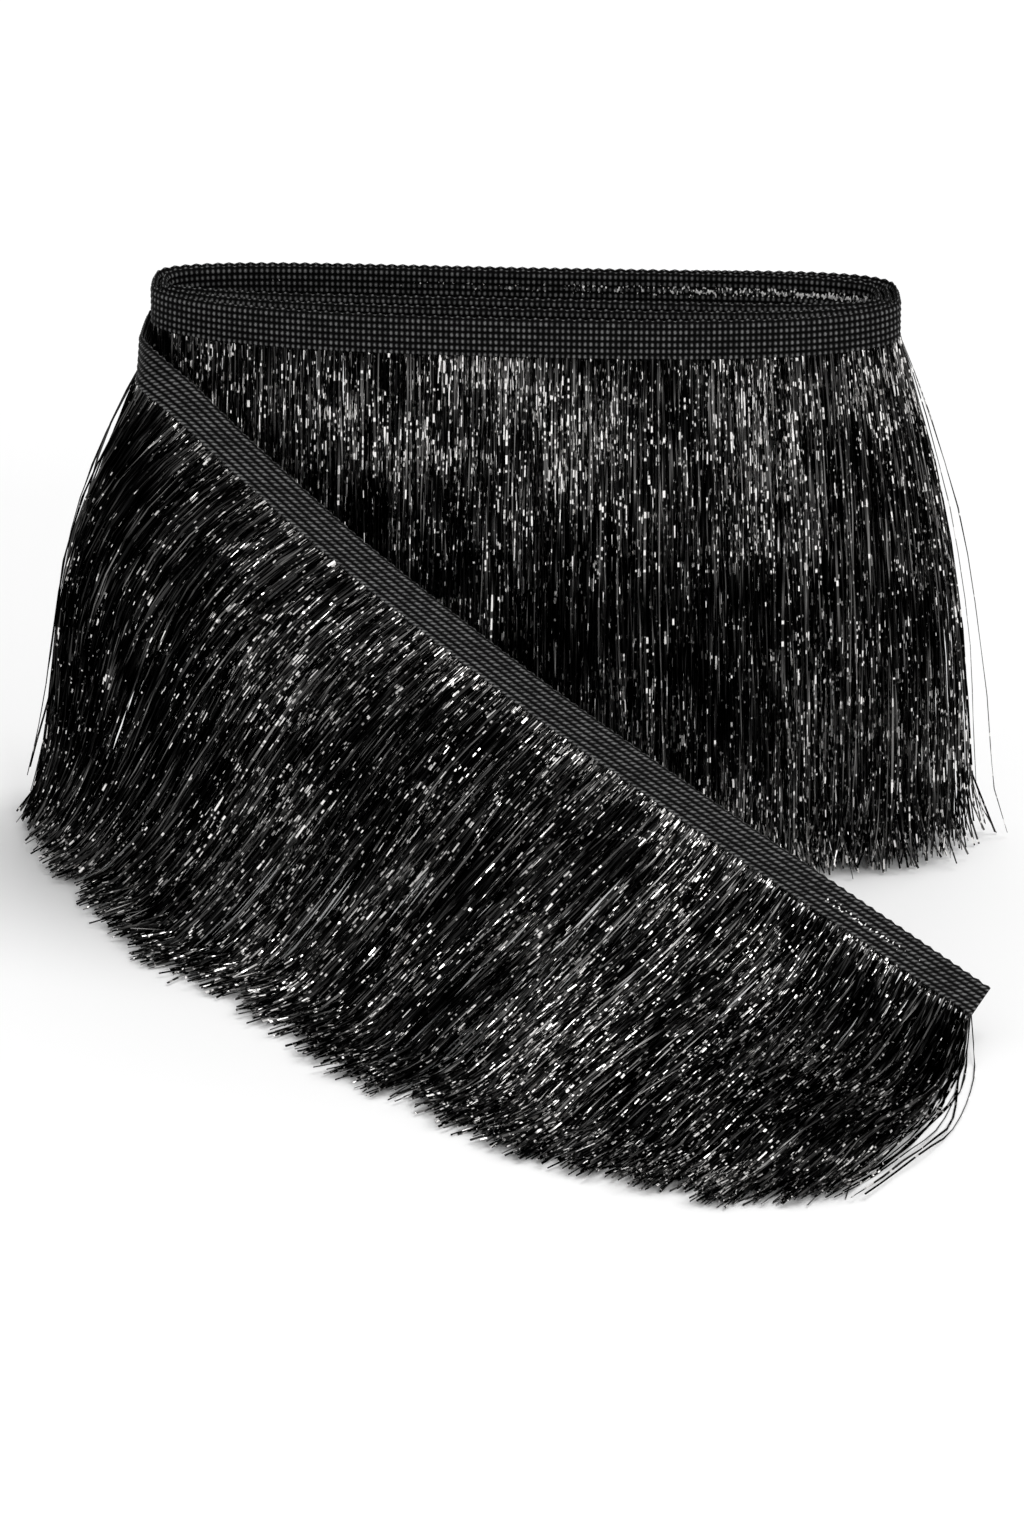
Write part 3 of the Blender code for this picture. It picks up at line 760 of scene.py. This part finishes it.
def light(name, place, target, size, power):
    data = bpy.data.lights.new(name, "AREA")
    data.shape = "RECTANGLE"
    data.size, data.size_y = size
    data.energy = power
    thing = bpy.data.objects.new(name, data)
    thing.location = place
    bpy.context.scene.collection.objects.link(thing)
    aim(thing, target)


def studio():
    world = bpy.data.worlds.new("studio")
    world.use_nodes = True
    background = world.node_tree.nodes["Background"]
    background.inputs["Color"].default_value = (1.0, 1.0, 1.0, 1.0)
    background.inputs["Strength"].default_value = 0.5
    scene = bpy.context.scene
    scene.world = world
    sun = bpy.data.lights.new("overhead", "SUN")
    sun.energy = 1.7
    sun.angle = math.radians(50.0)
    lamp = bpy.data.objects.new("overhead", sun)
    lamp.location = (0.66, 0.03, 1.52)
    scene.collection.objects.link(lamp)
    aim(lamp, (0.0, 0.0, 0.0))
    light("front", (0.5, -1.7, 0.85), (0.0, 0.0, 0.05), (0.4, 0.4), 9.0)
    light("backdrop", (0.0, 2.0, 1.6), (0.0, 1.5, 0.0), (1.5, 0.6), 5.0)
    scene.view_settings.view_transform = "Standard"
    scene.view_settings.look = "None"


def camera():
    data = bpy.data.cameras.new("camera")
    data.lens = CAMERA_LENS
    data.sensor_width = CAMERA_SENSOR
    data.clip_start = 0.05
    thing = bpy.data.objects.new("camera", data)
    thing.location = CAMERA_PLACE + OFFSET
    thing.rotation_euler = (math.radians(90.0 - CAMERA_DOWN), 0.0, 0.0)
    bpy.context.scene.collection.objects.link(thing)
    bpy.context.scene.camera = thing


def place_piece(piece, node):
    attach(piece, "root")
    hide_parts(node)


def main():
    chance = np.random.default_rng(11)
    camera()
    # The hank's and the loose end's yarn share one finish, with different painted glint and painted shade profiles;
    # the loose one also has painted shade under the tape's end.
    film = yarn_finish("black_metallic_yarn", HANK_PAINTED_GLINTS, painted_shade_under_end=0.0)
    combed = yarn_finish("black_metallic_yarn_lying", LOOSE_PAINTED_GLINTS, painted_shade_under_end=1.3)
    knit = tape_finish("black_knitted_tape", slant=0.0, joined=0.25)
    rope = tape_finish("black_knitted_tape_turned", slant=1.2, joined=0.45)
    hank, hank_length = tape("tape_hank", hank_frame, 0.002, TURNS - 0.0006, hank_painted_float_glints, knit)
    loose, loose_length = tape("tape_loose", loose_frame, 0.003, 0.999, loose_painted_float_glints, rope)
    place_piece(hank, "heading_hank")
    place_piece(loose, "heading_loose")
    yarns = {}
    for name, node, plies, count, points, spread, fan in HANK_YARN:
        each = count // len(plies)
        paths = [standing_yarn(a, b, each, points, spread, fan, chance) for a, b in plies]
        yarns[name] = yarn_piece(name, np.concatenate(paths), chance, film)
        place_piece(yarns[name], node)
    for name, node, start, end, count, points in LOOSE_YARN:
        yarns[name] = yarn_piece(name, lying_yarn(start, end, count, points, chance), chance, combed)
        place_piece(yarns[name], node)
    floor()
    studio()


main()
